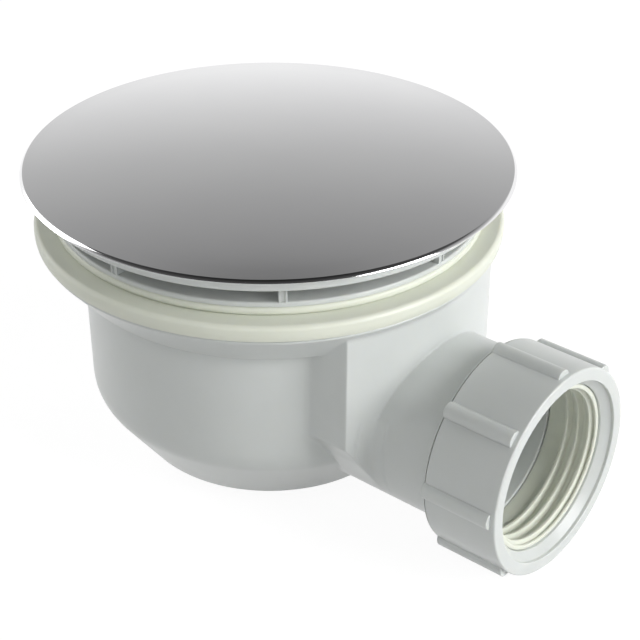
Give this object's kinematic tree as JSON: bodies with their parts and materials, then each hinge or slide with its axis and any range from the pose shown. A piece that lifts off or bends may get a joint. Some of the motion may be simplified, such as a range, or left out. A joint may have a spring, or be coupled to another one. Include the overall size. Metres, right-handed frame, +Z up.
{
  "type": "shower trap",
  "caption": "Shower trap with a round chromed cover, clamped flange and seals, a deep bowl with a removable dip tube, and a side outlet with a ribbed coupling nut.",
  "frame": {"origin": "centre of the tray hole, in the plane of the tray's underside on the lower seal's top face", "axes": "+Z up along the axis of the cover, flange and bowl; +X along the outlet, the way the water leaves"},
  "size_m": [0.1489, 0.12, 0.0807],
  "materials": {
    "chromed_steel": "polished chrome",
    "white_plastic": "moulded, semi-gloss",
    "grey_plastic": "moulded, matt",
    "cream_rubber": "smooth, matt",
    "black_rubber": "smooth, matt",
    "screw_steel": "plain stainless",
    "brass": "turned"
  },
  "bodies": {
    "root": {"cover": "chromed_steel", "cover_carrier": "white_plastic", "hair_strainer": "grey_plastic", "dip_tube": "white_plastic", "dip_tube_ring": "black_rubber", "clamp_flange": "white_plastic", "clamp_screws": "screw_steel", "threaded_inserts": "brass", "upper_seal": "cream_rubber", "lower_seal": "cream_rubber", "trap_body": "white_plastic", "outlet_seal": "cream_rubber", "slip_ring": "white_plastic", "outlet_nut": "white_plastic"}
  },
  "joints": []
}
